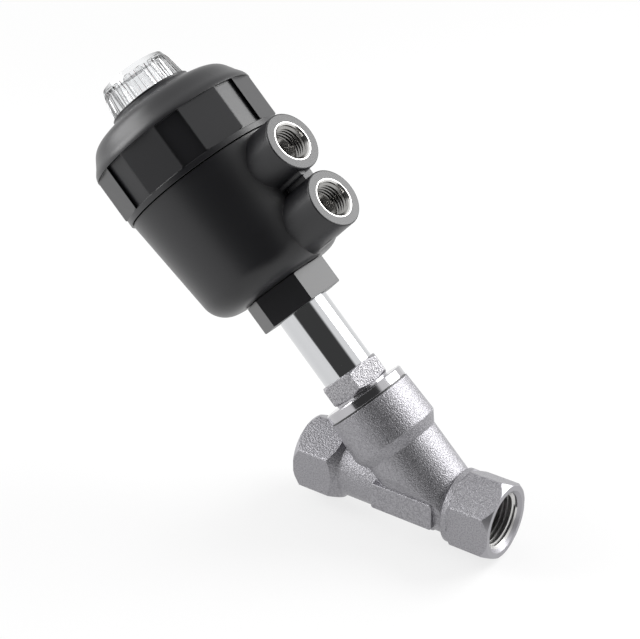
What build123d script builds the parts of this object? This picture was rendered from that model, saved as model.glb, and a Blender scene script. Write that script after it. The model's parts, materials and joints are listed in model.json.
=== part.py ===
# Pneumatic angle seat valve, normally closed, with threaded pipe ends.
#
# Frame: millimetres, +Z up. The origin is the centre of the inlet port's face, +X runs along the pipe
# axis to the outlet. The stem axis leans back over the inlet. Distances along the stem, called heights
# here, are measured from the point where the stem axis crosses the pipe axis.
import os
from math import cos, pi, radians, sin, sqrt, tan

from build123d import *

# ---- Driving dimensions ---------------------------------------------------------------------------
# pipe body
body_length = 82.5  # inlet face to outlet face
inlet_to_crossing = 55.3  # inlet face to where the stem axis meets the pipe axis
stem_angle = 45.0  # stem axis above the pipe axis, degrees
port_flats = 27.0  # wrench flats of the pipe ends
port_hex_length = 14.9  # face to the end of the wrench corners
port_face_radius = 13.65
port_chamfer_length = 2.7
port_edge_radius = 1.2  # cast radius on the wrench corners
port_shoulder_length = 3.6  # cone from the wrench corners down to the neck
bead_radius = 13.9  # round bead behind the outlet's wrench flats
bead_width = 3.3
bead_offset = 1.0
bead_bevel = 0.6
neck_radius = 11.6
pipe_thread_radius = 10.48  # G 1/2, major
pipe_thread_length = 15.0
thread_mouth_chamfer = 1.2
passage_radius = 7.5
inlet_passage_rise = 10.5  # climb of the inlet passage towards the chamber, degrees
orifice_radius = 6.5
branch_radius = 14.4
branch_shoulder_radius = 17.05
branch_top_radius = 16.4
shoulder_start = 23.0
shoulder_end = 27.2
body_top = 42.9
chamber_radius = 11.2
chamber_floor = 10.0
seat_lip_height = 1.5
seat_lip_width = 1.6
pad_start = -21.0  # marking pad, along the pipe from the crossing
pad_end = 4.4
pad_height = 10.6
pad_face = 13.2  # pad face to the symmetry plane
pad_edge = 0.5

# bonnet, neck tube and packing
bonnet_thread_radius = 12.0
gasket_thickness = 0.6
flange_radius = 16.2
flange_thickness = 3.5
bonnet_flats = 22.3
bonnet_hex_height = 7.9
bonnet_groove = 1.0  # turned relief between flange and hexagon
bonnet_hex_turn = 12.8  # first flat of the bonnet hexagon from the symmetry plane, degrees
tube_radius = 10.15
tube_wall = 2.0
tube_socket_depth = 4.5
packing_ring_count = 3
packing_ring_thickness = 1.6
packing_ridge = 1.2
packing_spring_height = 6.0
packing_wire = 1.2
packing_washer_thickness = 1.2
gland_height = 4.8
circlip_thickness = 1.2

# stem, plug
stem_radius = 4.0
stem_travel = 9.0
plug_radius = 9.6
plug_flange_thickness = 3.0
plug_hub_radius = 6.6
plug_hub_height = 6.4
seal_disc_radius = 9.0
seal_disc_thickness = 3.1
clamp_washer_radius = 5.4
clamp_washer_thickness = 1.1
clamp_screw_radius = 3.0
clamp_screw_flats = 9.0
clamp_screw_head = 3.8

# swivel bush between tube and actuator
bush_flats = 29.6
bush_bottom = 84.1
bush_hex_height = 11.3
bush_hub_radius = 12.5
bush_hub_height = 9.3
tube_engagement = 8.5

# actuator
bore_radius = 25.0
housing_floor_thickness = 5.3
housing_corner_radius = 9.8
housing_base_radius = 28.0  # where the drafted wall would meet the base
housing_rim_radius = 32.1
housing_height = 47.5
housing_thread_radius = 28.6
housing_thread_height = 15.0
port_radius = 10.87
port_reach = 43.4  # stem axis to the port faces
port_spacing = 24.0
lower_port_height = 11.7  # above the underside of the housing
insert_radius = 7.5
insert_length = 11.5
insert_mouth_chamfer = 0.6
pilot_thread_radius = 6.58  # G 1/4, major
pilot_thread_length = 9.5
air_passage_radius = 2.2
port_edge = 0.5
web_thickness = 5.0
web_setback = 3.4  # web edge behind the port faces
ridge_radius = 1.3

# cover and indicator
cover_rim_radius = 32.85
cover_rim_height = 2.1
cover_crown_radius = 33.5
cover_pad_count = 8
cover_pad_inset = 1.1  # pad faces inside the crown radius
cover_pad_height = 17.5
cover_collar_radius = 16.2
cover_height = 34.4
dome_base_radius = 15.3
dome_waist_radius = 14.0
dome_top_radius = 12.9
dome_height = 11.6
dome_wall = 2.2
dome_skirt_radius = 12.5
dome_skirt_height = 6.0
dome_flute_count = 16
dome_flute_radius = 2.4
dome_flute_depth = 0.6

# piston and springs
piston_underside = 14.3  # above the underside of the housing, valve closed
piston_rim_height = 8.5
piston_web = 3.0
piston_hub_radius = 8.0
outer_spring_radius = 17.5
outer_spring_wire = 3.2
outer_spring_turns = 7
inner_spring_radius = 11.0
inner_spring_wire = 2.2
inner_spring_turns = 9
coil_runs_per_turn = 10
spring_seat_thickness = 1.2
indicator_rod_radius = 2.5
indicator_cap_radius = 7.0
indicator_cap_height = 9.0

# named clearances
fit = 0.05  # threads, sockets and running fits, radial
play = 0.3  # faces that pass or meet without pressing
piston_play = 0.1

# ---- Frames ---------------------------------------------------------------------------------------
tilt = radians(stem_angle)
crossing = Vector(inlet_to_crossing, 0, 0)
stem_up = Vector(-cos(tilt), 0, sin(tilt))
stem_side = Vector(sin(tilt), 0, cos(tilt))
stem_axis = Axis(crossing, stem_up)
stem_section = Plane(origin=crossing, x_dir=stem_side, z_dir=(0, -1, 0))  # (radius, height)


def stem_plane(height):
    """Plane across the stem at a height; its x points to the side that carries the pilot ports."""
    return Plane(origin=crossing + stem_up * height, x_dir=stem_side, z_dir=stem_up)


def turned(*outline):
    """Closed (radius, height) outline, ready to revolve about the stem axis."""
    with BuildSketch(stem_section) as profile:
        with BuildLine():
            Polyline(*outline, close=True)
        make_face()
    return profile.sketch


def ring(inner, outer, low, high):
    return turned((inner, low), (outer, low), (outer, high), (inner, high))


def pipe_turned(*outline):
    """Closed (distance from the inlet face, radius) outline, ready to revolve about the pipe axis."""
    with BuildSketch(Plane.XZ) as profile:
        with BuildLine():
            Polyline(*outline, close=True)
        make_face()
    return profile.sketch


def turned_piece(*outlines):
    """Piece of one or more solids, each revolved about the stem axis."""
    with BuildPart() as piece:
        for outline in outlines:
            revolve(outline, axis=stem_axis)
    return piece


def coil(radius, wire, turns, low, high):
    """Helical spring between two flat seats, its wire drawn as short straight runs of six-sided bar."""
    runs = coil_runs_per_turn * turns
    rise = (high - low - wire) / runs
    angle = 2 * pi / coil_runs_per_turn
    base = stem_plane(low + wire / 2)
    points = [
        base.from_local_coords((radius * cos(angle * run), radius * sin(angle * run), rise * run))
        for run in range(runs + 1)
    ]
    with BuildPart() as spring:
        with BuildLine() as path:
            Polyline(*points)
        with BuildSketch(Plane(origin=path.line @ 0, z_dir=path.line % 0)):
            RegularPolygon(wire / 2, 6)
        sweep(path=path.line, transition=Transition.RIGHT)
    return spring


pieces = {}

# ---- Cast body ------------------------------------------------------------------------------------
hex_corner = port_flats / sqrt(3)
neck_start = port_hex_length + port_shoulder_length
bead_end = body_length - port_hex_length - bead_offset
bead_start = bead_end - bead_width
seat_height = chamber_floor + seat_lip_height
plug_top = seat_height + seal_disc_thickness + plug_flange_thickness + plug_hub_height
bonnet_bottom = plug_top + stem_travel + play
belly_radius = neck_radius + 0.5
branch_root_depth = 8.0  # the branch runs on into the pipe below the crossing
belly_shoulder = 11.0  # height above the pipe axis where the branch reaches its full width
belly_waist = 2.0
passage_start = pipe_thread_length - 1.0

with BuildPart() as valve_body:
    # wrench ends: hexagons trimmed by a turned outline
    for face, inward in ((0, 1), (body_length, -1)):
        with BuildSketch(Plane.YZ.offset(face)) as end_hexagon:
            RegularPolygon(port_flats / 2, 6, major_radius=False, rotation=30)
            fillet(end_hexagon.vertices(), port_edge_radius)
        extrude(amount=inward * neck_start)
    revolve(
        pipe_turned(
            (0, 0),
            (0, port_face_radius),
            (port_chamfer_length, hex_corner),
            (port_hex_length, hex_corner),
            (neck_start, neck_radius),
            (body_length - neck_start, neck_radius),
            (body_length - port_hex_length, hex_corner),
            (body_length - port_chamfer_length, hex_corner),
            (body_length, port_face_radius),
            (body_length, 0),
        ),
        axis=Axis.X,
        mode=Mode.INTERSECT,
    )
    # pipe between the wrench ends
    revolve(
        pipe_turned(
            (passage_start, 0),
            (passage_start, neck_radius),
            (body_length - passage_start, neck_radius),
            (body_length - passage_start, 0),
        ),
        axis=Axis.X,
    )

# the bead at the outlet
with BuildPart() as bead:
    revolve(
        pipe_turned(
            (bead_start, 0), (bead_start, bead_radius), (bead_end, bead_radius), (bead_end, 0)
        ),
        axis=Axis.X,
    )
    chamfer(bead.edges().filter_by(GeomType.CIRCLE), bead_bevel)

# the branch narrows below its full width so that it runs into the belly of the pipe
with BuildPart() as branch:
    revolve(
        turned(
            (0, -branch_root_depth),
            (branch_radius, -branch_root_depth),
            (branch_radius, shoulder_start),
            (branch_shoulder_radius, shoulder_end),
            (branch_top_radius, body_top),
            (0, body_top),
        ),
        axis=stem_axis,
    )
    fillet(branch.edges().filter_by(GeomType.CIRCLE).group_by(SortBy.RADIUS)[-1], 1.0)
    with BuildSketch(Plane.YZ) as branch_outline:
        with BuildLine():
            for side in (-1, 1):
                Line((side * branch_radius, body_top * 2), (side * branch_radius, belly_shoulder))
                ThreePointArc(
                    (side * branch_radius, belly_shoulder),
                    (side * (belly_radius + 0.75), (belly_shoulder + belly_waist) / 2),
                    (side * belly_radius, belly_waist),
                )
                Line(
                    (side * belly_radius, belly_waist),
                    (side * belly_radius * sin(pi / 4), -belly_radius * cos(pi / 4)),
                )
            Line(
                (-belly_radius * sin(pi / 4), -belly_radius * cos(pi / 4)),
                (belly_radius * sin(pi / 4), -belly_radius * cos(pi / 4)),
            )
            Line((-branch_radius, body_top * 2), (branch_radius, body_top * 2))
        make_face()
    extrude(amount=body_length, mode=Mode.INTERSECT)

with BuildPart() as branch_head:
    revolve(
        turned(
            (0, shoulder_start),
            (branch_radius, shoulder_start),
            (branch_shoulder_radius, shoulder_end),
            (branch_top_radius, body_top),
            (0, body_top),
        ),
        axis=stem_axis,
    )
    fillet(branch_head.edges().filter_by(GeomType.CIRCLE).group_by(SortBy.RADIUS)[-1], 1.0)

with BuildPart() as marking_pad:
    with BuildSketch(Plane.XZ.offset(pad_face)) as pad_outline:
        with Locations((inlet_to_crossing + (pad_start + pad_end) / 2, 0)):
            RectangleRounded(pad_end - pad_start, pad_height, 1.0)
    extrude(amount=-pad_face, taper=-2)
    fillet(marking_pad.faces().sort_by(Axis.Y)[0].edges(), pad_edge)

with valve_body:
    add(bead.part)
    add(branch.part)
    add(branch_head.part)
    add(marking_pad.part)
    # chamber, seat and bonnet thread, turned from the top of the branch
    revolve(
        turned(
            (0, body_top),
            (bonnet_thread_radius + fit, body_top),
            (bonnet_thread_radius + fit, bonnet_bottom - play),
            (chamber_radius, bonnet_bottom - play - 1),
            (chamber_radius, chamber_floor),
            (orifice_radius + seat_lip_width, chamber_floor),
            (orifice_radius + seat_lip_width * 0.7, seat_height),
            (orifice_radius, seat_height),
            (orifice_radius, 0),
            (0, 0),
        ),
        axis=stem_axis,
        mode=Mode.SUBTRACT,
    )
    # outlet elbow below the seat
    with Locations(crossing):
        Sphere(passage_radius, mode=Mode.SUBTRACT)
    with BuildSketch(Plane.YZ.offset(inlet_to_crossing)) as outlet_passage:
        Circle(passage_radius)
    extrude(amount=body_length - passage_start - inlet_to_crossing, mode=Mode.SUBTRACT)
    # inlet passage, climbing into the chamber
    climb = radians(inlet_passage_rise)
    inlet_run = inlet_to_crossing - chamber_floor * cos(tilt) - chamber_radius * sin(tilt) - passage_start
    with BuildSketch(
        Plane(origin=(passage_start, 0, 0), x_dir=(0, 1, 0), z_dir=(cos(climb), 0, sin(climb)))
    ) as inlet_passage:
        Circle(passage_radius)
    extrude(amount=inlet_run / cos(climb), mode=Mode.SUBTRACT)
    # threaded sockets for the pipes
    for face, inward in ((0, 1), (body_length, -1)):
        thread_end = face + inward * pipe_thread_length
        mouth_end = face + inward * thread_mouth_chamfer
        revolve(
            pipe_turned(
                (face, 0),
                (face, pipe_thread_radius + thread_mouth_chamfer),
                (mouth_end, pipe_thread_radius),
                (thread_end, pipe_thread_radius),
                (thread_end, 0),
            ),
            axis=Axis.X,
            mode=Mode.SUBTRACT,
        )
pieces["valve_body"] = valve_body

# ---- Bonnet and neck tube -------------------------------------------------------------------------
flange_bottom = body_top + gasket_thickness
flange_top = flange_bottom + flange_thickness
bonnet_hex_bottom = flange_top + bonnet_groove
bonnet_top = bonnet_hex_bottom + bonnet_hex_height
tube_bottom = bonnet_top - tube_socket_depth
tube_bore = tube_radius - tube_wall
guide_bush_radius = tube_bore - 1.65
guide_shoulder = bonnet_bottom + 6.2
guide_flange_thickness = 1.2
packing_floor = guide_shoulder + guide_flange_thickness


def hexagon_prism(flats, bottom, height, turn, crown):
    """Hexagonal bar across the stem with both ends turned to a round crown."""
    corner = flats / sqrt(3)
    bevel = (corner - crown) * tan(radians(30))
    with BuildPart() as prism:
        with BuildSketch(stem_plane(bottom)):
            RegularPolygon(flats / 2, 6, major_radius=False, rotation=30 + turn)
        extrude(amount=height)
        revolve(
            turned(
                (0, bottom),
                (crown, bottom),
                (corner, bottom + bevel),
                (corner, bottom + height - bevel),
                (crown, bottom + height),
                (0, bottom + height),
            ),
            axis=stem_axis,
            mode=Mode.INTERSECT,
        )
    return prism.part


with BuildPart() as bonnet_nut:
    add(hexagon_prism(bonnet_flats, bonnet_hex_bottom, bonnet_hex_height, bonnet_hex_turn, bonnet_flats / 2))
    revolve(
        turned(
            (0, bonnet_bottom),
            (bonnet_thread_radius - 0.8, bonnet_bottom),
            (bonnet_thread_radius, bonnet_bottom + 0.8),
            (bonnet_thread_radius, flange_bottom - 1.2),
            (bonnet_thread_radius - 0.8, flange_bottom - 0.8),
            (bonnet_thread_radius - 0.8, flange_bottom),
            (flange_radius, flange_bottom),
            (flange_radius, flange_top - 0.4),
            (flange_radius - 0.4, flange_top),
            (bonnet_flats / 2 - 0.4, flange_top),
            (bonnet_flats / 2 - 0.4, bonnet_hex_bottom),
            (0, bonnet_hex_bottom),
        ),
        axis=stem_axis,
    )
    revolve(
        turned(
            (0, bonnet_bottom),
            (guide_bush_radius + fit, bonnet_bottom),
            (guide_bush_radius + fit, guide_shoulder),
            (tube_bore, guide_shoulder),
            (tube_bore, tube_bottom),
            (tube_radius + fit, tube_bottom),
            (tube_radius + fit, bonnet_top),
            (0, bonnet_top),
        ),
        axis=stem_axis,
        mode=Mode.SUBTRACT,
    )
pieces["bonnet_nut"] = bonnet_nut

pieces["bonnet_gasket"] = turned_piece(
    ring(bonnet_thread_radius + 0.3, branch_top_radius - 0.5, body_top, flange_bottom)
)

bush_top = bush_bottom + bush_hex_height
tube_top = bush_bottom + tube_engagement
spring_bottom = packing_floor + packing_washer_thickness
spring_top = spring_bottom + packing_spring_height
adapter_height = 2.2
stack_bottom = spring_top + adapter_height
stack_top = stack_bottom + packing_ring_count * packing_ring_thickness
gland_bottom = stack_top + packing_ridge + adapter_height
circlip_bottom = gland_bottom + gland_height
packing_inner = stem_radius + 2 * fit
packing_outer = tube_bore - fit
packing_middle = (packing_inner + packing_outer) / 2
circlip_depth = 0.8

pieces["neck_tube"] = turned_piece(
    turned(
        (tube_bore, tube_bottom),
        (tube_radius, tube_bottom),
        (tube_radius, tube_top),
        (tube_bore, tube_top),
        (tube_bore, circlip_bottom + circlip_thickness + fit),
        (tube_bore + circlip_depth, circlip_bottom + circlip_thickness + fit),
        (tube_bore + circlip_depth, circlip_bottom),
        (tube_bore, circlip_bottom),
    )
)

# ---- Stem guide and spring-loaded packing -----------------------------------------------------------
pieces["stem_guide_bush"] = turned_piece(
    turned(
        (stem_radius + fit, bonnet_bottom + play),
        (guide_bush_radius, bonnet_bottom + play),
        (guide_bush_radius, guide_shoulder),
        (tube_bore - fit, guide_shoulder),
        (tube_bore - fit, packing_floor),
        (stem_radius + fit, packing_floor),
    )
)
pieces["packing_washer"] = turned_piece(
    ring(stem_radius + play, packing_outer, packing_floor, spring_bottom)
)
pieces["packing_spring"] = coil(packing_middle, packing_wire, 4, spring_bottom, spring_top)
pieces["packing_lower_adapter"] = turned_piece(
    turned(
        (packing_inner, spring_top),
        (packing_outer, spring_top),
        (packing_outer, stack_bottom),
        (packing_middle, stack_bottom + packing_ridge),
        (packing_inner, stack_bottom),
    )
)


def chevron(low):
    return turned(
        (packing_inner, low),
        (packing_middle, low + packing_ridge),
        (packing_outer, low),
        (packing_outer, low + packing_ring_thickness),
        (packing_middle, low + packing_ring_thickness + packing_ridge),
        (packing_inner, low + packing_ring_thickness),
    )


for index in range(packing_ring_count):
    pieces[f"packing_ring_{index + 1}"] = turned_piece(chevron(stack_bottom + index * packing_ring_thickness))
pieces["packing_upper_adapter"] = turned_piece(
    turned(
        (packing_inner, stack_top),
        (packing_middle, stack_top + packing_ridge),
        (packing_outer, stack_top),
        (packing_outer, gland_bottom),
        (packing_inner, gland_bottom),
    )
)
pieces["packing_gland"] = turned_piece(ring(stem_radius + play, packing_outer, gland_bottom, circlip_bottom))


def circlip(inner, outer, low, gap):
    """Flat retaining ring with a gap between its ends."""
    with BuildPart() as clip:
        with BuildSketch(stem_plane(low)):
            Circle(outer)
            Circle(inner, mode=Mode.SUBTRACT)
            with Locations((-outer, 0)):
                Rectangle(outer, gap, mode=Mode.SUBTRACT)
        extrude(amount=circlip_thickness)
    return clip


pieces["packing_circlip"] = circlip(
    tube_bore - 1.4, tube_bore + circlip_depth - fit, circlip_bottom, 5.0
)

# ---- Swivel bush between the neck and the actuator --------------------------------------------------
housing_bottom = bush_top + play
housing_floor = housing_bottom + housing_floor_thickness
hub_top = bush_top + bush_hub_height
swivel_ring_bottom = housing_floor + play
swivel_clip_bottom = swivel_ring_bottom + 0.8
o_ring_section = 0.8
o_ring_height = bush_top + 2.0
stem_seal_bottom = tube_top + 4.4
stem_seal_height = 3.0
upper_bush_radius = stem_radius + 3.0
upper_bush_bottom = stem_seal_bottom + stem_seal_height

with BuildPart() as swivel_bush:
    add(hexagon_prism(bush_flats, bush_bottom, bush_hex_height, 0, bush_flats / sqrt(3) - 0.5))
    revolve(
        turned(
            (0, bush_top),
            (bush_hub_radius, bush_top),
            (bush_hub_radius, o_ring_height),
            (bush_hub_radius - 2 * o_ring_section, o_ring_height),
            (bush_hub_radius - 2 * o_ring_section, o_ring_height + 2.2),
            (bush_hub_radius, o_ring_height + 2.2),
            (bush_hub_radius, swivel_clip_bottom),
            (bush_hub_radius - circlip_depth, swivel_clip_bottom),
            (bush_hub_radius - circlip_depth, swivel_clip_bottom + circlip_thickness + fit),
            (bush_hub_radius, swivel_clip_bottom + circlip_thickness + fit),
            (bush_hub_radius, hub_top - 0.6),
            (bush_hub_radius - 0.6, hub_top),
            (0, hub_top),
        ),
        axis=stem_axis,
    )
    revolve(
        turned(
            (0, bush_bottom),
            (tube_radius + fit, bush_bottom),
            (tube_radius + fit, tube_top),
            (stem_radius + play, tube_top),
            (stem_radius + play, stem_seal_bottom),
            (upper_bush_radius, stem_seal_bottom),
            (upper_bush_radius, hub_top),
            (0, hub_top),
        ),
        axis=stem_axis,
        mode=Mode.SUBTRACT,
    )
pieces["swivel_bush"] = swivel_bush


def o_ring(center_radius, height, section):
    """Seal ring, its cord drawn as six-sided bar."""
    with BuildPart() as seal:
        with BuildSketch(stem_section):
            with Locations((center_radius, height)):
                RegularPolygon(section, 6)
        revolve(axis=stem_axis)
    return seal


pieces["swivel_o_ring"] = o_ring(
    bush_hub_radius - o_ring_section, o_ring_height + 1.1, o_ring_section - fit / 2
)
pieces["swivel_washer"] = turned_piece(
    ring(bush_hub_radius + fit, bush_hub_radius + 3.5, swivel_ring_bottom, swivel_clip_bottom)
)
pieces["swivel_circlip"] = circlip(
    bush_hub_radius - circlip_depth + fit, bush_hub_radius + 2.0, swivel_clip_bottom, 6.0
)
pieces["stem_seal"] = turned_piece(
    turned(
        (stem_radius + fit, stem_seal_bottom),
        (upper_bush_radius - fit, stem_seal_bottom),
        (upper_bush_radius - fit, upper_bush_bottom),
        (upper_bush_radius - 1.0, upper_bush_bottom),
        (stem_radius + 1.5, stem_seal_bottom + 1.2),
        (stem_radius + 0.9, upper_bush_bottom),
        (stem_radius + fit, upper_bush_bottom),
    )
)
pieces["upper_stem_bush"] = turned_piece(
    ring(stem_radius + fit, upper_bush_radius - fit, upper_bush_bottom, hub_top)
)

# ---- Actuator housing -------------------------------------------------------------------------------
housing_top = housing_bottom + housing_height
housing_lip = housing_top + housing_thread_height
port_heights = (housing_bottom + lower_port_height, housing_bottom + lower_port_height + port_spacing)
port_root = bore_radius - 3.0


def port_plane(height, reach):
    """Plane facing out of a pilot port, at a distance from the stem axis."""
    origin = crossing + stem_up * height + stem_side * reach
    return Plane(origin=origin, x_dir=(0, 1, 0), z_dir=stem_side)


with BuildPart() as actuator_housing:
    revolve(
        turned(
            (0, housing_bottom),
            (housing_base_radius, housing_bottom),
            (housing_rim_radius, housing_top),
            (0, housing_top),
        ),
        axis=stem_axis,
    )
    base_edge = actuator_housing.edges().filter_by(GeomType.CIRCLE).filter_by(
        lambda edge: abs(edge.radius - housing_base_radius) < fit
    )
    fillet(base_edge, housing_corner_radius)
    # pilot ports: drafted bosses joined by a web, with a slim ridge along the upper one
    for height in port_heights:
        with BuildSketch(port_plane(height, port_reach)) as boss:
            Circle(port_radius)
        extrude(amount=port_root - port_reach, taper=-1.0)
    mouth_edges = actuator_housing.edges().filter_by(GeomType.CIRCLE).filter_by(
        lambda edge: abs(edge.radius - port_radius) < fit
    )
    fillet(mouth_edges.sort_by(Axis(crossing, stem_side))[-len(port_heights):], port_edge)
    middle_height = sum(port_heights) / 2
    with BuildSketch(port_plane(middle_height, port_reach - web_setback)) as web:
        Rectangle(web_thickness, port_spacing)
    extrude(amount=port_root - port_reach + web_setback)
    with BuildSketch(port_plane(middle_height + 1.6, port_reach - web_setback / 2)) as ridge:
        with Locations((-web_thickness / 2 - ridge_radius * 0.8, 0)):
            Circle(ridge_radius)
    extrude(amount=port_root - port_reach + web_setback / 2)
    # gusset from the lower port down to the base
    with BuildSketch(stem_plane(housing_bottom + 0.8)) as gusset:
        with Locations((port_root + 5.5, 0)):
            Rectangle(11, web_thickness)
    extrude(amount=lower_port_height)
    # neck that the cover screws on to
    revolve(ring(0, housing_thread_radius, housing_top, housing_lip), axis=stem_axis)
    # cylinder and swivel bore
    revolve(
        turned(
            (0, housing_bottom),
            (bush_hub_radius + fit, housing_bottom),
            (bush_hub_radius + fit, housing_floor),
            (bore_radius - 4, housing_floor),
            (bore_radius, housing_floor + 4),
            (bore_radius, housing_lip - 1),
            (bore_radius + 1, housing_lip),
            (0, housing_lip),
        ),
        axis=stem_axis,
        mode=Mode.SUBTRACT,
    )
    for height in port_heights:
        with BuildSketch(port_plane(height, port_reach)):
            Circle(insert_radius + fit)
        extrude(amount=-insert_length, mode=Mode.SUBTRACT)
        with BuildSketch(port_plane(height, port_reach)):
            Circle(air_passage_radius)
        extrude(amount=bore_radius - port_reach - 2, mode=Mode.SUBTRACT)
pieces["actuator_housing"] = actuator_housing

for side, height in zip(("lower", "upper"), port_heights):
    with BuildPart() as port_insert:
        with BuildSketch(port_plane(height, port_reach)):
            Circle(insert_radius)
        extrude(amount=-insert_length)
        with BuildSketch(port_plane(height, port_reach)):
            Circle(pilot_thread_radius)
        extrude(amount=-pilot_thread_length, mode=Mode.SUBTRACT)
        with BuildSketch(port_plane(height, port_reach)):
            Circle(air_passage_radius)
        extrude(amount=-insert_length, mode=Mode.SUBTRACT)
        mouth = port_insert.edges().filter_by(GeomType.CIRCLE).filter_by(
            lambda edge: abs(edge.radius - pilot_thread_radius) < fit
        )
        chamfer(mouth.sort_by(Axis(crossing, stem_side))[-1], insert_mouth_chamfer)
    pieces[f"port_insert_{side}"] = port_insert

# ---- Cover ------------------------------------------------------------------------------------------
cover_bottom = housing_top + play
cover_top = cover_bottom + cover_height
rim_top = cover_bottom + cover_rim_height
crown_end = rim_top + cover_pad_height - 0.4
cover_seal_radius = 0.55
spring_roof = cover_top - 7.3
cover_bore = dome_skirt_radius + fit
pad_apothem = cover_crown_radius - cover_pad_inset
pocket_floor = pad_apothem - 0.5
pocket_floor_width = 6.6
pocket_slant = 46.0  # side walls of the pockets, degrees

with BuildPart() as actuator_cover:
    with BuildSketch(stem_section) as cover_outline:
        with BuildLine() as cover_path:
            Polyline(
                (cover_bore, cover_top),
                (cover_bore, spring_roof),
                (bore_radius - 4.5, spring_roof),
            )
            ThreePointArc(
                (bore_radius - 4.5, spring_roof),
                (bore_radius - 0.9, spring_roof - 1.9),
                (bore_radius + 0.6, spring_roof - 6),
            )
            Polyline(
                (bore_radius + 0.6, spring_roof - 6),
                (bore_radius + 0.6, housing_lip + 2 * cover_seal_radius),
                (housing_thread_radius + fit, housing_lip + 2 * cover_seal_radius),
                (housing_thread_radius + fit, cover_bottom),
                (cover_rim_radius, cover_bottom),
                (cover_rim_radius, rim_top),
                (cover_crown_radius, rim_top + 0.6),
                (cover_crown_radius, crown_end),
            )
            Spline(
                (cover_crown_radius, crown_end),
                (cover_crown_radius - 2.1, crown_end + 4.5),
                (cover_crown_radius - 5.8, crown_end + 9.6),
                (cover_crown_radius - 12.3, crown_end + 12.2),
                (cover_collar_radius + 1.2, crown_end + 13.6),
                tangents=((0, 1), (-1, 0.4)),
            )
            Polyline(
                (cover_collar_radius + 1.2, crown_end + 13.6),
                (cover_collar_radius, cover_top - 0.8),
                (cover_collar_radius, cover_top),
                (cover_bore, cover_top),
            )
        make_face()
    revolve(axis=stem_axis)

# wrench pads: an octagon between the rim and the crown
with BuildPart() as pad_envelope:
    revolve(ring(0, cover_crown_radius + 1, cover_bottom, cover_top), axis=stem_axis)
    with BuildSketch(stem_plane(rim_top)):
        Circle(cover_crown_radius + 1)
        RegularPolygon(pad_apothem, cover_pad_count, major_radius=False, mode=Mode.SUBTRACT)
    extrude(amount=cover_pad_height, mode=Mode.SUBTRACT)

# one pocket between two pads, its side walls sloping outwards
pocket_reach = cover_crown_radius + 1 - pocket_floor
pocket_mouth_width = pocket_floor_width + 2 * pocket_reach * tan(radians(pocket_slant))

with actuator_cover:
    add(pad_envelope.part, mode=Mode.INTERSECT)
    with BuildSketch(stem_plane(rim_top)) as pockets:
        with PolarLocations(0, cover_pad_count):
            with Locations((pocket_floor + pocket_reach / 2, 0)):
                Trapezoid(pocket_mouth_width, pocket_reach, 90 - pocket_slant, rotation=-90)
    extrude(amount=cover_pad_height, mode=Mode.SUBTRACT)
pieces["actuator_cover"] = actuator_cover

# ---- Indicator --------------------------------------------------------------------------------------
dome_bottom = cover_top
dome_top = dome_bottom + dome_height
dome_inner = dome_base_radius - dome_wall - 1.0
dome_waist = dome_bottom + dome_height * 0.68
dome_groove_depth = 1.2
dome_rim = 2.0  # plain band above the flutes

with BuildPart() as indicator_dome:
    revolve(
        turned(
            (dome_inner - 1.6, dome_bottom - dome_skirt_height),
            (dome_skirt_radius, dome_bottom - dome_skirt_height),
            (dome_skirt_radius, dome_bottom - 3.9),
            (dome_skirt_radius - dome_groove_depth, dome_bottom - 3.9),
            (dome_skirt_radius - dome_groove_depth, dome_bottom - 2.2),
            (dome_skirt_radius, dome_bottom - 2.2),
            (dome_skirt_radius, dome_bottom),
            (dome_base_radius, dome_bottom),
            (dome_waist_radius, dome_waist),
            (dome_top_radius, dome_top - 0.5),
            (0, dome_top),
            (0, dome_top - dome_wall),
            (dome_top_radius - dome_wall, dome_top - dome_wall - 0.4),
            (dome_inner - 1.6, dome_waist),
        ),
        axis=stem_axis,
    )
    # finger flutes, following the taper of the wall and running out under the top
    lean = (dome_base_radius - dome_waist_radius) / (dome_waist - dome_bottom)
    flute_reach = dome_base_radius + dome_flute_radius - dome_flute_depth
    for index in range(dome_flute_count):
        turn = 2 * pi * (index + 0.5) / dome_flute_count
        outward = stem_side * cos(turn) + Vector(0, sin(turn), 0)
        start = crossing + stem_up * dome_bottom + outward * flute_reach
        with BuildSketch(Plane(origin=start, z_dir=stem_up - outward * lean)):
            Circle(dome_flute_radius)
        extrude(amount=dome_height - dome_rim, mode=Mode.SUBTRACT)
pieces["indicator_dome"] = indicator_dome
pieces["indicator_o_ring"] = o_ring(
    dome_skirt_radius - dome_groove_depth / 2, dome_bottom - 3.05, dome_groove_depth / 2 - fit / 2
)
pieces["cover_o_ring"] = o_ring(
    (bore_radius + 1 + housing_thread_radius) / 2, housing_lip + cover_seal_radius, cover_seal_radius
)

# ---- Stem and plug ----------------------------------------------------------------------------------
piston_bottom = housing_bottom + piston_underside
piston_rim_top = piston_bottom + piston_rim_height
piston_hub_bottom = hub_top + 4.4
piston_hub_top = piston_rim_top
web_bottom = piston_bottom + 1.0
web_top = web_bottom + piston_web
stem_end_radius = stem_radius - 1.0
stem_bottom = seat_height + seal_disc_thickness + 2.4
plug_hub_bottom = seat_height + seal_disc_thickness + plug_flange_thickness
snap_ring_bottom = plug_hub_bottom + 2.4
snap_ring_depth = 0.8
washer_top = piston_hub_top + 1.0
nut_top = washer_top + 4.6
rod_sleeve_bottom = nut_top + 0.4
rod_sleeve_top = rod_sleeve_bottom + 9.0
stem_top = rod_sleeve_top - 2.0
cap_bottom = cover_top - 4.9 - indicator_cap_height
cap_top = cap_bottom + indicator_cap_height

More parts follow.
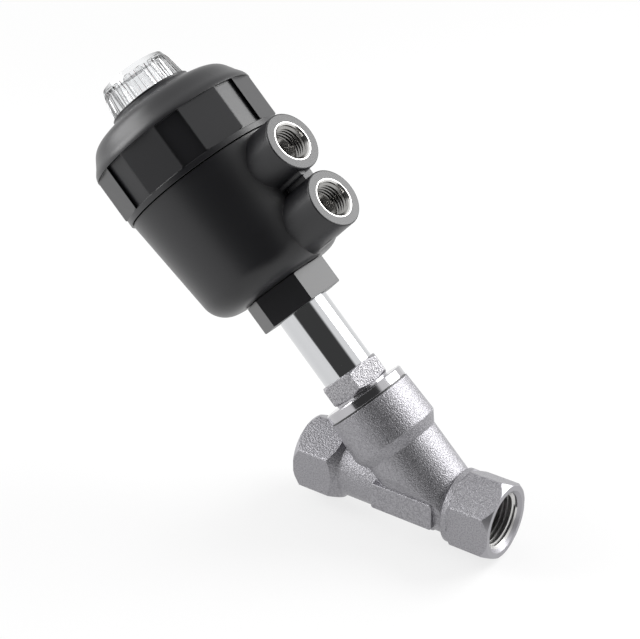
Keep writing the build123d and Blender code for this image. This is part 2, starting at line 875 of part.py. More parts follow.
with BuildPart() as stem:
    revolve(
        turned(
            (0, stem_bottom),
            (stem_radius - 0.5, stem_bottom),
            (stem_radius, stem_bottom + 0.5),
            (stem_radius, snap_ring_bottom),
            (stem_radius - snap_ring_depth, snap_ring_bottom),
            (stem_radius - snap_ring_depth, snap_ring_bottom + circlip_thickness + fit),
            (stem_radius, snap_ring_bottom + circlip_thickness + fit),
            (stem_radius, piston_hub_bottom),
            (stem_end_radius, piston_hub_bottom),
            (stem_end_radius, stem_top - 0.5),
            (stem_end_radius - 0.5, stem_top),
            (0, stem_top),
        ),
        axis=stem_axis,
    )
pieces["stem"] = stem

with BuildPart() as plug_body:
    revolve(
        turned(
            (clamp_screw_radius + fit, seat_height + seal_disc_thickness),
            (plug_radius, seat_height + seal_disc_thickness),
            (plug_radius, plug_hub_bottom - 0.6),
            (plug_radius - 0.6, plug_hub_bottom),
            (plug_hub_radius, plug_hub_bottom),
            (plug_hub_radius, plug_top - 0.6),
            (plug_hub_radius - 0.6, plug_top),
            (stem_radius + fit, plug_top),
            (stem_radius + fit, snap_ring_bottom + circlip_thickness + fit),
            (stem_radius + 1.0, snap_ring_bottom + circlip_thickness + fit),
            (stem_radius + 1.0, snap_ring_bottom),
            (stem_radius + fit, snap_ring_bottom),
            (stem_radius + fit, stem_bottom - fit),
            (clamp_screw_radius + fit, stem_bottom - fit),
        ),
        axis=stem_axis,
    )
pieces["plug_body"] = plug_body
pieces["plug_snap_ring"] = circlip(
    stem_radius - snap_ring_depth + fit, stem_radius + 1.0 - fit, snap_ring_bottom, 2.5
)
pieces["seal_disc"] = turned_piece(
    turned(
        (clamp_screw_radius + fit, seat_height),
        (seal_disc_radius - 0.5, seat_height),
        (seal_disc_radius, seat_height + 0.5),
        (seal_disc_radius, seat_height + seal_disc_thickness),
        (clamp_screw_radius + fit, seat_height + seal_disc_thickness),
    )
)
clamp_washer_bottom = seat_height - clamp_washer_thickness
pieces["clamp_washer"] = turned_piece(
    ring(clamp_screw_radius + fit, clamp_washer_radius, clamp_washer_bottom, seat_height)
)
with BuildPart() as clamp_screw:
    add(
        hexagon_prism(
            clamp_screw_flats,
            clamp_washer_bottom - clamp_screw_head,
            clamp_screw_head,
            0,
            clamp_screw_flats / 2,
        )
    )
    revolve(ring(0, clamp_screw_radius, clamp_washer_bottom - 1, stem_bottom - 0.3), axis=stem_axis)
pieces["clamp_screw"] = clamp_screw

# ---- Piston -----------------------------------------------------------------------------------------
seal_groove_low = piston_bottom + 1.2
seal_groove_high = seal_groove_low + 3.2
band_groove_low = seal_groove_high + 1.2
band_groove_high = band_groove_low + 2.0
piston_radius = bore_radius - piston_play
rim_inner = outer_spring_radius + outer_spring_wire / 2 + 1.6
seal_depth = 2.6
band_depth = 1.2

with BuildPart() as piston:
    revolve(
        turned(
            (stem_end_radius + fit, piston_hub_bottom),
            (piston_hub_radius, piston_hub_bottom),
            (piston_hub_radius, web_bottom),
            (rim_inner, web_bottom),
            (rim_inner + 0.6, piston_bottom),
            (piston_radius - 0.6, piston_bottom),
            (piston_radius, piston_bottom + 0.6),
            (piston_radius, seal_groove_low),
            (piston_radius - seal_depth, seal_groove_low),
            (piston_radius - seal_depth, seal_groove_high),
            (piston_radius, seal_groove_high),
            (piston_radius, band_groove_low),
            (piston_radius - band_depth, band_groove_low),
            (piston_radius - band_depth, band_groove_high),
            (piston_radius, band_groove_high),
            (piston_radius, piston_rim_top),
            (rim_inner, piston_rim_top),
            (rim_inner, web_top),
            (piston_hub_radius, web_top),
            (piston_hub_radius, piston_hub_top),
            (stem_end_radius + fit, piston_hub_top),
        ),
        axis=stem_axis,
    )
pieces["piston"] = piston
pieces["piston_seal"] = turned_piece(
    turned(
        (piston_radius - seal_depth + fit, seal_groove_low + 0.1),
        (piston_radius - seal_depth + fit, seal_groove_high - 0.1),
        (piston_radius + fit, seal_groove_high - 0.1),
        (piston_radius - 0.4, seal_groove_high - 1.4),
        (piston_radius - 1.2, seal_groove_low + 1.2),
        (piston_radius + fit, seal_groove_low + 0.1),
    )
)
pieces["piston_guide_band"] = turned_piece(
    ring(piston_radius - band_depth + fit, piston_radius + fit, band_groove_low + 0.1, band_groove_high - 0.1)
)
pieces["piston_washer"] = turned_piece(
    ring(stem_end_radius + fit, piston_hub_radius - 0.5, piston_hub_top, washer_top)
)
with BuildPart() as piston_nut:
    add(hexagon_prism(10.0, washer_top, nut_top - washer_top, 0, 5.0))
    revolve(
        ring(0, stem_end_radius + fit, washer_top, nut_top), axis=stem_axis, mode=Mode.SUBTRACT
    )
pieces["piston_nut"] = piston_nut

# ---- Springs and indicator rod ----------------------------------------------------------------------
spring_seat_bottom = spring_roof - spring_seat_thickness
pieces["spring_seat"] = turned_piece(
    ring(indicator_cap_radius + 1.2, outer_spring_radius + 2.4, spring_seat_bottom, spring_roof)
)
pieces["outer_spring"] = coil(
    outer_spring_radius, outer_spring_wire, outer_spring_turns, web_top, spring_seat_bottom
)
pieces["inner_spring"] = coil(
    inner_spring_radius, inner_spring_wire, inner_spring_turns, web_top, spring_seat_bottom
)
with BuildPart() as indicator_rod:
    revolve(
        turned(
            (0, rod_sleeve_top + 1),
            (0, stem_top + 0.3),
            (stem_end_radius + fit, stem_top + 0.3),
            (stem_end_radius + fit, rod_sleeve_bottom),
            (stem_end_radius + 1.5, rod_sleeve_bottom),
            (stem_end_radius + 1.5, rod_sleeve_top),
            (indicator_rod_radius, rod_sleeve_top + 1),
            (indicator_rod_radius, cap_bottom),
            (indicator_rod_radius - 0.8, cap_bottom),
            (indicator_rod_radius - 0.8, cap_top - 2),
            (0, cap_top - 2),
        ),
        axis=stem_axis,
    )
pieces["indicator_rod"] = indicator_rod
with BuildPart() as indicator_cap:
    revolve(
        turned(
            (indicator_rod_radius - 0.8 + fit, cap_bottom),
            (indicator_cap_radius, cap_bottom),
            (indicator_cap_radius, cap_top - 1),
            (indicator_cap_radius - 1, cap_top),
            (0, cap_top),
            (0, cap_top - 2 + fit),
            (indicator_rod_radius - 0.8 + fit, cap_top - 2 + fit),
        ),
        axis=stem_axis,
    )
pieces["indicator_cap"] = indicator_cap

if __name__ == "__main__":
    os.makedirs("parts", exist_ok=True)
    for name, piece in pieces.items():
        piece.part.label = name
        export_step(piece.part, f"parts/{name}.step")
        print(name, round(piece.part.volume, 1), piece.part.is_valid)
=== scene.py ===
# Pneumatic angle seat valve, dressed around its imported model.
# Metres and Z up. The pipe runs along X from the inlet face at the origin, and the stem leans back over
# the inlet.
import json
import math

import bpy
from mathutils import Matrix, Vector


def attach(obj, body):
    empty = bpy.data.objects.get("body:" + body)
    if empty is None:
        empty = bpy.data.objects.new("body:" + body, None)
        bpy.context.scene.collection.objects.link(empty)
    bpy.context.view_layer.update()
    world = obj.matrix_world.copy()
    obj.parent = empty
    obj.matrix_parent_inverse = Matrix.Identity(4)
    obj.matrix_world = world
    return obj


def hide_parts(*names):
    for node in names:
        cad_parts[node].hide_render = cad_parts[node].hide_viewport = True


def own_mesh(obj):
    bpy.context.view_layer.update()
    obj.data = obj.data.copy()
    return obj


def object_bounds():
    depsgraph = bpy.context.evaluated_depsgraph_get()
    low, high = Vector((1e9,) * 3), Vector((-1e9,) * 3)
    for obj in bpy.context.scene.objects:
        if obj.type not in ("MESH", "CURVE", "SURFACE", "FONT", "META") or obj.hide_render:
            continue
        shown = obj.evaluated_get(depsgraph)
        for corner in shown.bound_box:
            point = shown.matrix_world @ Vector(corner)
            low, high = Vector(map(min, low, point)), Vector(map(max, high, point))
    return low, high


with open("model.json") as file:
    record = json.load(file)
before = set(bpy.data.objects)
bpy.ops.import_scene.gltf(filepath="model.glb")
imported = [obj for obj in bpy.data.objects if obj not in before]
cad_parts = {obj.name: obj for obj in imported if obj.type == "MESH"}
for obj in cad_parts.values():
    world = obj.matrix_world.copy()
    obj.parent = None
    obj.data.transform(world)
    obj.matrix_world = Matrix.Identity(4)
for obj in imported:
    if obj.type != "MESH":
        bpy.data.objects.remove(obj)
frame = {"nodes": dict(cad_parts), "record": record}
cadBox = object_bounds()
mm = 0.001

valve = {
    "crossing": 55.3,  # inlet face to the point where the stem axis meets the pipe axis
    "lean": 45.0,  # stem above the pipe, degrees
    "length": 82.5,  # face to face
}
merge = {"cad": 0.0005, "wound": 0.001}  # millimetres within which points are one
lean = math.radians(valve["lean"])
crossing = Vector((valve["crossing"] * mm, 0, 0))
stemUp = Vector((-math.cos(lean), 0, math.sin(lean)))
stemSide = Vector((math.sin(lean), 0, math.cos(lean)))  # towards the pilot ports


def onStem(height, side=0.0, across=0.0):  # millimetres along the stem, towards the pilot ports, and across
    return crossing + stemUp * height * mm + stemSide * side * mm + Vector((0, across * mm, 0))


def deselectAll():
    if bpy.context.mode != "OBJECT":
        bpy.ops.object.mode_set(mode="OBJECT")
    bpy.ops.object.select_all(action="DESELECT")


threadForm = {
    "root": 0.94,  # widths of the ridge, as shares of the pitch
    "crest": 0.14,
    "overlap": 0.03,  # millimetres that the ridge reaches into the wall
    "edge": 40,  # degrees above which an edge is drawn sharp
    "leadSides": 96,
}
pipeThread = {
    "major": 10.48,  # G 1/2: 14 turns to the inch
    "pitch": 1.814,
    "depth": 1.16,
    "from": 0.2,
    "to": 14.6,
    "mouth": 1.2,  # 45 degree lead at the face
    "steps": 56,
}
pilotThread = {
    "major": 6.58,  # G 1/4: 19 turns to the inch
    "pitch": 1.337,
    "depth": 0.86,
    "from": 0.1,
    "to": 9.3,
    "mouth": 0.6,
    "steps": 44,
}


# finishes

def linearColour(code):  # sRGB hex to the linear values that sockets take
    channels = [int(code[i : i + 2], 16) / 255 for i in (1, 3, 5)]
    return [c / 12.92 if c <= 0.04045 else ((c + 0.055) / 1.055) ** 2.4 for c in channels] + [1.0]


def addNode(tree, kind, settings=None, links=None):  # one shader node, its settings and its incoming links
    node = tree.nodes.new(kind)
    for name, value in (settings or {}).items():
        if isinstance(name, str) and name in node.bl_rna.properties:
            setattr(node, name, value)
        else:
            node.inputs[name].default_value = value
    for name, source in (links or {}).items():
        tree.links.new(source, node.inputs[name])
    return node


def startFinish(name, colour, metallic, roughness, ior=1.5):
    material = bpy.data.materials.new(name)
    material.use_nodes = True
    tree = material.node_tree
    tree.nodes.clear()
    shader = addNode(
        tree,
        "ShaderNodeBsdfPrincipled",
        {"Base Color": linearColour(colour), "Metallic": metallic, "Roughness": roughness, "IOR": ior},
    )
    addNode(tree, "ShaderNodeOutputMaterial", links={"Surface": shader.outputs[0]})
    place = addNode(tree, "ShaderNodeTexCoord").outputs["Object"]
    return material, tree, shader, place


grainForm = {"detail": 3.0, "roughness": 0.55}


def addGrain(tree, place, size, height, normal=None):  # random bumps of a real size and height, in mm
    noise = addNode(
        tree,
        "ShaderNodeTexNoise",
        {"Scale": 1 / (size * mm), "Detail": grainForm["detail"], "Roughness": grainForm["roughness"]},
        {"Vector": place},
    )
    bump = addNode(
        tree, "ShaderNodeBump", {"Distance": height * mm, "Strength": 1.0}, {"Height": noise.outputs[0]}
    )
    if normal is not None:
        tree.links.new(normal, bump.inputs["Normal"])
    return bump.outputs[0]


def addMath(tree, operation, first, second=0.5, third=None):
    node = tree.nodes.new("ShaderNodeMath")
    node.operation = operation
    for socket, value in zip(node.inputs, (first, second, third)):
        if value is None:
            continue
        if isinstance(value, (int, float)):
            socket.default_value = value
        else:
            tree.links.new(value, socket)
    return node.outputs[0]


def heightOnStem(tree, place):  # metres along the stem, as a shader value
    along = addNode(tree, "ShaderNodeVectorMath", {"operation": "DOT_PRODUCT", 1: stemUp}, {0: place})
    return addMath(tree, "SUBTRACT", along.outputs["Value"], crossing.dot(stemUp))


blast = {
    "grain": 0.50,  # mm, drawn coarser than the blasting grit so that it shows
    "height": 0.26,
    "paintedPitShade": "#88878b",  # painted shade: the pits are drawn darker in the base colour
    "pitDepth": 0.36,  # noise values where a pit is darkest and where the peaks begin
    "peak": 0.60,
    "detail": 3.0,
    "edge": 0.35,  # corners are rounded by the blasting
}
castBody = {
    "colour": "#a4a3a7",
    "roughness": 0.40,
    "mottle": 6.0,  # size of the duller patches
    "mottleDetail": 2.0,
    "brighter": -0.05,  # how far the roughness strays in them
    "duller": 0.07,
    "faceDepth": 0.05,  # how far behind the end a point still counts as on it
    "turnedRoughness": 0.42,
    "endRadius": 13.6,  # flat ring of the pipe ends
    "bevelSlope": 0.718,  # rise of the turned cone behind that ring
    "bevelDepth": 2.75,
    "boreRadius": 11.75,
}
bonnet = {
    "colour": "#b9b8bb",
    "roughness": 0.38,
    "flangeTop": 47.6,  # everything below is turned bright
    "turnedRoughness": 0.13,
    "turn": 29.5,  # degrees, which brings a corner of the hexagon to the front
    "edge": 20,  # degrees above which an edge is drawn sharp
}


def blastSkin(tree, place, shader, colour, blasted, turned, turnedRoughness):
    # shared by the blasted steels: pebbled normal, pits darkened with painted shade in the colour, and smooth
    # bright metal where it was turned
    noise = addNode(
        tree,
        "ShaderNodeTexNoise",
        {"Scale": 1 / (blast["grain"] * mm), "Detail": blast["detail"], "Roughness": 0.5},
        {"Vector": place},
    )
    rough = addMath(tree, "SUBTRACT", 1.0, turned)
    height = addMath(tree, "MULTIPLY", noise.outputs[0], rough)
    edge = addNode(tree, "ShaderNodeBevel", {"samples": 4, "Radius": blast["edge"] * mm})
    bump = addNode(
        tree,
        "ShaderNodeBump",
        {"Distance": blast["height"] * mm},
        {"Height": height, "Normal": edge.outputs[0]},
    )
    tree.links.new(bump.outputs[0], shader.inputs["Normal"])
    # painted shade: the base colour darkens from the peaks down into the pits
    peaks = addNode(
        tree,
        "ShaderNodeMapRange",
        {"From Min": blast["pitDepth"], "From Max": blast["peak"]},
        {"Value": noise.outputs[0]},
    )
    unshadedShare = addMath(tree, "MAXIMUM", peaks.outputs[0], turned)
    tint = addNode(
        tree,
        "ShaderNodeMix",
        {"data_type": "RGBA", 6: linearColour(blast["paintedPitShade"]), 7: linearColour(colour)},
        {0: unshadedShare},
    )
    tree.links.new(tint.outputs[2], shader.inputs["Base Color"])
    change = addMath(tree, "SUBTRACT", turnedRoughness, blasted)
    gloss = addMath(tree, "MULTIPLY_ADD", change, turned, blasted)
    tree.links.new(gloss, shader.inputs["Roughness"])


def makeCastSteel():
    # CF8M stainless steel, investment cast and glass-bead blasted: pale grey, soft sheen, fine pebbled skin.
    # The ends and threads are turned after casting and stay smooth and bright.
    material, tree, shader, place = startFinish(
        "blastedCastSteel", castBody["colour"], 1.0, castBody["roughness"]
    )
    axes = addNode(tree, "ShaderNodeSeparateXYZ", links={0: place})
    radius = addMath(
        tree,
        "SQRT",
        addMath(
            tree,
            "ADD",
            addMath(tree, "POWER", axes.outputs["Y"], 2.0),
            addMath(tree, "POWER", axes.outputs["Z"], 2.0),
        ),
    )
    toOutlet = addMath(tree, "SUBTRACT", valve["length"] * mm, axes.outputs["X"])
    toFace = addMath(tree, "MINIMUM", axes.outputs["X"], toOutlet)
    cone = addMath(tree, "MULTIPLY_ADD", toFace, castBody["bevelSlope"], castBody["endRadius"] * mm)
    onCone = addMath(
        tree,
        "MULTIPLY",
        addMath(tree, "GREATER_THAN", radius, cone),
        addMath(tree, "LESS_THAN", toFace, castBody["bevelDepth"] * mm),
    )
    inBore = addMath(
        tree,
        "MULTIPLY",
        addMath(tree, "LESS_THAN", radius, castBody["boreRadius"] * mm),
        addMath(tree, "LESS_THAN", toFace, pipeThread["to"] * mm),
    )
    onFace = addMath(tree, "LESS_THAN", toFace, castBody["faceDepth"] * mm)
    turned = addMath(tree, "MAXIMUM", onCone, addMath(tree, "MAXIMUM", inBore, onFace))
    mottle = addNode(
        tree,
        "ShaderNodeTexNoise",
        {"Scale": 1 / (castBody["mottle"] * mm), "Detail": castBody["mottleDetail"]},
        {"Vector": place},
    )
    blasted = addNode(
        tree,
        "ShaderNodeMapRange",
        {
            "To Min": castBody["roughness"] + castBody["brighter"],
            "To Max": castBody["roughness"] + castBody["duller"],
        },
        {"Value": mottle.outputs[0]},
    )
    blastSkin(
        tree, place, shader, castBody["colour"], blasted.outputs[0], turned, castBody["turnedRoughness"]
    )
    return material


def makeBonnetSteel():
    # 316L bar stock: the hexagon is blasted, the flange below it is turned to a mirror-like ring.
    material, tree, shader, place = startFinish(
        "blastedBarSteel", bonnet["colour"], 1.0, bonnet["roughness"]
    )
    turned = addMath(tree, "LESS_THAN", heightOnStem(tree, place), bonnet["flangeTop"] * mm)
    blastSkin(tree, place, shader, bonnet["colour"], bonnet["roughness"], turned, bonnet["turnedRoughness"])
    return material


nylon = {
    "colour": "#1c1c1f",
    "roughness": 0.36,
    "ior": 1.53,
    "grain": 0.35,  # spark-eroded mould skin
    "grainHeight": 0.006,
    "edge": 0.3,  # mould radius on every corner
}


def makeNylon():
    # Glass-filled nylon, injection moulded in an eroded mould: near black and satin, its edges rounded just
    # enough to catch light.
    material, tree, shader, place = startFinish(
        "mouldedNylon", nylon["colour"], 0.0, nylon["roughness"], nylon["ior"]
    )
    edge = addNode(tree, "ShaderNodeBevel", {"samples": 6, "Radius": nylon["edge"] * mm})
    skin = addGrain(tree, place, nylon["grain"], nylon["grainHeight"], normal=edge.outputs[0])
    tree.links.new(skin, shader.inputs["Normal"])
    return material


clearCap = {
    "paintedEdgeShade": "#161719",  # painted shade, where the wall is seen edge-on
    "faceColour": "#f7f8f9",
    "edgeStart": 0.22,
    "edgeEnd": 0.70,
    "roughness": 0.02,
    "ior": 1.585,
}


def makeClearCap():
    # Polycarbonate, injection moulded and polished: clear as glass, with painted shade, dark lines in its
    # colour, where the wall is seen edge-on.
    material, tree, shader, _ = startFinish(
        "clearPolycarbonate", clearCap["faceColour"], 0.0, clearCap["roughness"], clearCap["ior"]
    )
    slant = addNode(tree, "ShaderNodeLayerWeight", {"Blend": 0.5})
    edge = addNode(
        tree,
        "ShaderNodeMapRange",
        {"From Min": clearCap["edgeStart"], "From Max": clearCap["edgeEnd"]},
        {"Value": slant.outputs["Facing"]},
    )
    # painted shade: the colour turns dark where the surface is seen edge-on
    tint = addNode(
        tree,
        "ShaderNodeMix",
        {
            "data_type": "RGBA",
            6: linearColour(clearCap["faceColour"]),
            7: linearColour(clearCap["paintedEdgeShade"]),
        },
        {0: edge.outputs[0]},
    )
    tree.links.new(tint.outputs[2], shader.inputs["Base Color"])
    shader.inputs["Transmission Weight"].default_value = 1.0
    return material


def makePlain(name, colour, metallic, roughness, ior=1.5, grain=0.3, grainHeight=0.003):
    material, tree, shader, place = startFinish(name, colour, metallic, roughness, ior)
    tree.links.new(addGrain(tree, place, grain, grainHeight), shader.inputs["Normal"])
    return material


finishes = {
    "cast_steel": makeCastSteel(),
    "machined_steel": makePlain("turnedSteel", "#cccbca", 1.0, 0.30),
    "polished_steel": makePlain("polishedSteelTube", "#cfd0d2", 1.0, 0.06, grain=2.0, grainHeight=0.0005),
    "black_nylon": makeNylon(),
    "clear_plastic": makeClearCap(),
    "plated_brass": makePlain("nickelPlatedBrass", "#dad9d7", 1.0, 0.19),  # bright, hardly warm
    "tapped_brass": makePlain("shadedThreadBrass", "#a09f9d", 1.0, 0.24),  # darker than the plated bore: painted shade inside the pilot ports, so that the turns stand apart
    "spring_steel": makePlain("phosphatedSpringWire", "#77777a", 1.0, 0.38),
    "zinc_steel": makePlain("zincPlatedSteel", "#bcbfc2", 1.0, 0.30),
    "ptfe": makePlain("filledPtfe", "#e9e7e0", 0.0, 0.45, 1.35),  # dull waxy white
    "nitrile": makePlain("nitrileRubber", "#1a1a1a", 0.0, 0.55, 1.52),
    "graphite_gasket": makePlain("pressedGraphite", "#2b2b2c", 0.0, 0.50, 1.8),
    "signal_plastic": makePlain("signalAcetal", "#c8261c", 0.0, 0.35, 1.48),
    "acetal": makePlain("turnedAcetal", "#ecebe6", 0.0, 0.40, 1.48),
}
bonnetSteel = makeBonnetSteel()


def coat(piece, material):
    if len(piece.material_slots) == 0:
        piece.data.materials.append(material)
    for slot in piece.material_slots:
        slot.material = material


for part in frame["record"]["subparts"]:
    coat(frame["nodes"][part["node"]], finishes[part["material_slot"]])
coat(frame["nodes"]["bonnet_nut"], bonnetSteel)
print("finishes on the packed nodes")


# the bonnet as it stands when it is tightened

def turnBonnet():
    loose = frame["nodes"]["bonnet_nut"]
    piece = bpy.data.objects.new("tightenedBonnet", loose.data.copy())
    bpy.context.scene.collection.objects.link(piece)
    deselectAll()
    bpy.context.view_layer.objects.active = piece
    piece.select_set(True)
    bpy.ops.object.mode_set(mode="EDIT")
    bpy.ops.mesh.select_all(action="SELECT")
    bpy.ops.mesh.remove_doubles(threshold=merge["cad"] * mm)
    bpy.ops.mesh.customdata_custom_splitnormals_clear()
    bpy.ops.object.mode_set(mode="OBJECT")
    piece.data.transform(
        Matrix.Translation(crossing)
        @ Matrix.Rotation(math.radians(bonnet["turn"]), 4, stemUp)
        @ Matrix.Translation(-crossing)
    )
    bpy.ops.object.shade_smooth_by_angle(angle=math.radians(bonnet["edge"]))
    coat(piece, bonnetSteel)
    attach(piece, "valve_body")
    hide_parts("bonnet_nut")


# wound pieces: threads and springs

def windProfile(turns, pitch, stepsPerTurn):  # sweeps the active profile up its Z axis along a helix
    piece = bpy.context.object
    screw = piece.modifiers.new("winding", "SCREW")
    screw.axis = "Z"
    screw.angle = 2 * math.pi
    screw.screw_offset = pitch * mm
    screw.iterations = turns
    screw.steps = stepsPerTurn
    screw.render_steps = stepsPerTurn
    screw.use_smooth_shade = True
    bpy.ops.object.modifier_apply(modifier="winding")


def settle(name, origin, axis, side, body, material):
    # stands a piece that was built up Z on an axis of the valve
    piece = bpy.context.object
    piece.name = name
    first = side.normalized()
    up = axis.normalized()
    second = up.cross(first)
    piece.matrix_world = Matrix(
        (
            (first.x, second.x, up.x, origin.x),
            (first.y, second.y, up.y, origin.y),
            (first.z, second.z, up.z, origin.z),
            (0, 0, 0, 1),
        )
    )
    bpy.ops.object.transform_apply(location=True, rotation=True, scale=True)
    bpy.ops.object.mode_set(mode="EDIT")
    bpy.ops.mesh.select_all(action="SELECT")
    bpy.ops.mesh.remove_doubles(threshold=merge["wound"] * mm)
    bpy.ops.mesh.normals_make_consistent(inside=False)
    bpy.ops.object.mode_set(mode="OBJECT")
    coat(piece, material)
    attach(piece, body)
    return piece


def makeThread(name, thread, mouth, inward, body, material):
    # a ridge of thread form that stands in from the wall of the bore
    deselectAll()
    turns = math.floor((thread["to"] - thread["from"]) / thread["pitch"]) - 1
    bpy.ops.mesh.primitive_plane_add(
        size=thread["pitch"] * mm, location=(0, 0, 0), rotation=(math.pi / 2, 0, 0)
    )
    bpy.ops.object.transform_apply(location=True, rotation=True, scale=True)
    ridge = bpy.context.object
    bpy.ops.object.mode_set(mode="EDIT")
    bpy.ops.mesh.select_all(action="SELECT")
    bpy.ops.mesh.delete(type="ONLY_FACE")
    bpy.ops.object.mode_set(mode="OBJECT")
    rootAt = thread["major"] + threadForm["overlap"] - thread["pitch"] / 2
    crestAt = thread["major"] - thread["depth"] + thread["pitch"] / 2
    for atRoot, width, shift in ((True, threadForm["root"], rootAt), (False, threadForm["crest"], crestAt)):
        bpy.ops.object.mode_set(mode="EDIT")
        bpy.ops.mesh.select_all(action="DESELECT")
        bpy.ops.object.mode_set(mode="OBJECT")
        for vertex in ridge.data.vertices:
            vertex.select = (vertex.co.x > 0) == atRoot
        bpy.ops.object.mode_set(mode="EDIT")
        bpy.ops.transform.resize(value=(1, 1, width), center_override=(0, 0, 0))
        bpy.ops.transform.translate(value=(shift * mm, 0, 0))
        bpy.ops.object.mode_set(mode="OBJECT")
    windProfile(turns, thread["pitch"], thread["steps"])
    bpy.ops.object.mode_set(mode="EDIT")
    bpy.ops.mesh.select_all(action="DESELECT")
    bpy.ops.mesh.select_non_manifold()
    bpy.ops.mesh.fill_holes(sides=4)
    bpy.ops.mesh.select_all(action="SELECT")
    bpy.ops.mesh.normals_make_consistent(inside=False)
    bpy.ops.transform.translate(value=(0, 0, (thread["from"] + thread["pitch"] / 2) * mm))
    bpy.ops.object.mode_set(mode="OBJECT")
    # the lead at the face cuts the first turn to a feather edge
    widest = thread["major"] + thread["mouth"]
    lead = 2 * thread["pitch"]
    deselectAll()
    bpy.ops.mesh.primitive_cone_add(
        vertices=threadForm["leadSides"],
        radius1=(widest + 1) * mm,
        radius2=(widest - lead) * mm,
        depth=(lead + 1) * mm,
        location=(0, 0, (lead - 1) / 2 * mm),
    )
    cutter = bpy.context.object
    deselectAll()
    bpy.context.view_layer.objects.active = ridge
    ridge.select_set(True)
    cut = ridge.modifiers.new("lead", "BOOLEAN")
    cut.operation = "DIFFERENCE"
    cut.solver = "EXACT"
    cut.object = cutter
    bpy.ops.object.modifier_apply(modifier="lead")
    bpy.data.objects.remove(cutter)
    bpy.ops.object.shade_smooth_by_angle(angle=math.radians(threadForm["edge"]))
    settle(name, mouth, inward, acrossPipe, body, material)


acrossPipe = Vector((0, 1, 0))
pipeAxis = Vector((1, 0, 0))
inletFace = Vector((0, 0, 0))
outletFace = Vector((valve["length"] * mm, 0, 0))
portReach = 43.4  # stem axis to the face of a pilot port
portFaces = {"lower": onStem(107.4, portReach), "upper": onStem(131.4, portReach)}
turnedSteel = finishes["machined_steel"]
makeThread("inletThread", pipeThread, inletFace, pipeAxis, "valve_body", turnedSteel)
makeThread("outletThread", pipeThread, outletFace, -pipeAxis, "valve_body", turnedSteel)
# the pilot threads take the darker brass: painted shade inside the ports
shadedThreadBrass = finishes["tapped_brass"]
for level, face in portFaces.items():
    makeThread(level + "PilotThread", pilotThread, face, -stemSide, "actuator", shadedThreadBrass)
print("port threads cut")
turnBonnet()
print("bonnet turned")

springs = {
    "outer_spring": {"name": "outerCoil", "radius": 17.5, "wire": 3.2, "turns": 7, "sides": 12},
    "inner_spring": {"name": "innerCoil", "radius": 11.0, "wire": 2.2, "turns": 9, "sides": 10},
    "low": 114.0,  # piston web
    "high": 169.4,  # spring seat in the cover
    "steps": 40,
    "edge": 35,  # degrees above which an edge is drawn sharp
    "lift": 9.0,  # how far the piston pushes the coils together
}
for node in ("outer_spring", "inner_spring"):
    coil = springs[node]
    deselectAll()
    bpy.ops.mesh.primitive_circle_add(
        vertices=coil["sides"],
        radius=coil["wire"] / 2 * mm,
        location=(coil["radius"] * mm, 0, coil["wire"] / 2 * mm),
        rotation=(math.pi / 2, 0, 0),
    )
    bpy.ops.object.transform_apply(location=True, rotation=True, scale=True)
    rise = springs["high"] - springs["low"] - coil["wire"]
    windProfile(coil["turns"], rise / coil["turns"], springs["steps"])
    bpy.ops.object.mode_set(mode="EDIT")
    bpy.ops.mesh.select_all(action="DESELECT")
    bpy.ops.mesh.select_non_manifold()
    bpy.ops.mesh.fill_holes(sides=coil["sides"])
    bpy.ops.object.mode_set(mode="OBJECT")
    bpy.ops.object.shade_smooth_by_angle(angle=math.radians(springs["edge"]))
    piece = settle(
        coil["name"],
        onStem(springs["low"]),
        stemUp,
        stemSide,
        "actuator",
        finishes["spring_steel"],
    )
    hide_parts(node)
    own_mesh(piece)
print("springs wound")


# studio

studio = {
    "floorSize": 5.0,
    "floorGap": 0.2,  # millimetres under the lowest point
    "floorRoughness": 0.8,
    "floorColour": "#f4f4f4",
    "lampCentre": 0.06,  # height that the lamps are aimed at
    "dark": 0.06,  # unlit side of the room, where the viewer stands
    "ambient": 0.7,  # light from the white walls and ceiling
    "darkAim": (0.470, -0.763, 0.444),
    "darkEdge": (0.66, 0.80),  # cosines where the dark side ends
    "cameraFloor": 0.75,  # share of the floor that the lens sees as plain white
    "clearFrom": 0.25,  # metres from the origin where the floor starts to fade to plain white
    "clearTo": 0.9,  # and where it has faded
}
camera = {
    "azimuth": 35.321,
    "elevation": 28.981,
    "roll": -0.694,
    "right": 43.024,  # millimetres, where the crossing lies in the view
    "up": -63.844,
    "distance": 551.8,
    "lens": 86.175,
    "sensor": 36,
    "near": 0.01,
}


def makeFloor():
    deselectAll()
    height = cadBox[0][2] - studio["floorGap"] * mm
    bpy.ops.mesh.primitive_plane_add(size=studio["floorSize"], location=(0, 0, height))
    floor = bpy.context.object
    floor.name = "studioFloor"
    bpy.ops.object.transform_apply(location=True)
    material, tree, shader, place = startFinish(
        "paintedFloor", studio["floorColour"], 0.0, studio["floorRoughness"]
    )
    output = next(node for node in tree.nodes if node.type == "OUTPUT_MATERIAL")
    seen = addNode(tree, "ShaderNodeLightPath")
    white = addNode(tree, "ShaderNodeEmission", {"Color": (1, 1, 1, 1), "Strength": 1.0})
    direct = addMath(
        tree,
        "MAXIMUM",
        seen.outputs["Is Camera Ray"],
        addMath(tree, "MAXIMUM", seen.outputs["Is Glossy Ray"], seen.outputs["Is Transmission Ray"]),
    )
    away = addNode(tree, "ShaderNodeVectorMath", {"operation": "LENGTH"}, {0: place})
    fade = addNode(
        tree,
        "ShaderNodeMapRange",
        {
            "interpolation_type": "SMOOTHSTEP",
            "From Min": studio["clearFrom"],
            "From Max": studio["clearTo"],
            "To Min": studio["cameraFloor"],
            "To Max": 1.0,
        },
        {"Value": away.outputs["Value"]},
    )
    share = addMath(tree, "MULTIPLY", direct, fade.outputs[0])
    surfaces = {0: share, 1: shader.outputs[0], 2: white.outputs[0]}
    mixed = addNode(tree, "ShaderNodeMixShader", links=surfaces)
    tree.links.new(mixed.outputs[0], output.inputs["Surface"])
    coat(floor, material)


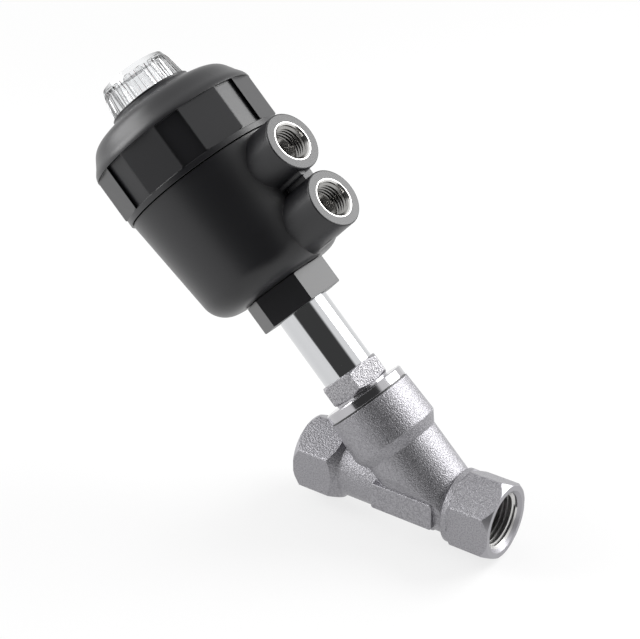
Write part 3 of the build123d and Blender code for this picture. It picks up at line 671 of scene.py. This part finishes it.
def lightWorld():
    world = bpy.data.worlds.new("studioRoom")
    bpy.context.scene.world = world
    world.use_nodes = True
    tree = world.node_tree
    tree.nodes.clear()
    direction = addNode(tree, "ShaderNodeTexCoord").outputs["Generated"]
    aim = Vector(studio["darkAim"]).normalized()
    facing = addNode(tree, "ShaderNodeVectorMath", {"operation": "DOT_PRODUCT", 1: aim}, {0: direction})
    room = addNode(
        tree,
        "ShaderNodeMapRange",
        {
            "interpolation_type": "SMOOTHSTEP",
            "From Min": studio["darkEdge"][0],
            "From Max": studio["darkEdge"][1],
            "To Min": 1.0,
            "To Max": studio["dark"],
        },
        {"Value": facing.outputs["Value"]},
    )
    seen = addNode(tree, "ShaderNodeLightPath")
    straight = addMath(tree, "MAXIMUM", seen.outputs["Is Camera Ray"], seen.outputs["Is Transmission Ray"])
    white = addMath(tree, "MAXIMUM", straight, seen.outputs["Is Glossy Ray"])
    walls = addNode(tree, "ShaderNodeMix", {"A": studio["ambient"], "B": 1.0}, {"Factor": white})
    shade = addNode(tree, "ShaderNodeMix", {"B": 1.0}, {"Factor": straight, "A": room.outputs[0]})
    strength = addMath(tree, "MULTIPLY", walls.outputs[0], shade.outputs[0])
    glow = addNode(tree, "ShaderNodeBackground", {"Color": (1, 1, 1, 1)}, {"Strength": strength})
    addNode(tree, "ShaderNodeOutputWorld", links={"Surface": glow.outputs[0]})


lamps = {
    "rightSoftbox": {"aim": (0.505, 0.701, 0.505), "distance": 0.75, "size": 0.5, "power": 5.2},
    "leftSoftbox": {"aim": (-0.80, -0.45, 0.40), "distance": 0.8, "size": 0.5, "power": 4.2},
}


def hangLamps():
    centre = Vector((0, 0, studio["lampCentre"]))
    for name, lamp in lamps.items():
        deselectAll()
        away = Vector(lamp["aim"]).normalized()
        bpy.ops.object.light_add(type="AREA", location=centre + away * lamp["distance"])
        light = bpy.context.object
        light.name = name
        light.data.shape = "SQUARE"
        light.data.size = lamp["size"]
        light.data.energy = lamp["power"]
        light.rotation_euler = away.to_track_quat("Z", "Y").to_euler()
        light.visible_camera = False


def placeCamera():
    azimuth = math.radians(camera["azimuth"])
    elevation = math.radians(camera["elevation"])
    roll = math.radians(camera["roll"])
    back = Vector(
        (math.sin(azimuth) * math.cos(elevation), -math.cos(azimuth) * math.cos(elevation), math.sin(elevation))
    )
    level = Vector((math.cos(azimuth), math.sin(azimuth), 0))
    raised = back.cross(level)
    right = level * math.cos(roll) + raised * math.sin(roll)
    up = raised * math.cos(roll) - level * math.sin(roll)
    place = crossing + (back * camera["distance"] - right * camera["right"] - up * camera["up"]) * mm
    bpy.ops.object.camera_add()
    lens = bpy.context.object
    lens.name = "viewCamera"
    lens.matrix_world = Matrix(
        (
            (right.x, up.x, back.x, place.x),
            (right.y, up.y, back.y, place.y),
            (right.z, up.z, back.z, place.z),
            (0, 0, 0, 1),
        )
    )
    lens.data.lens = camera["lens"]
    lens.data.sensor_width = camera["sensor"]
    lens.data.clip_start = camera["near"]
    bpy.context.scene.camera = lens


makeFloor()
lightWorld()
hangLamps()
placeCamera()
bpy.context.scene.view_settings.view_transform = "Standard"
print("studio set")
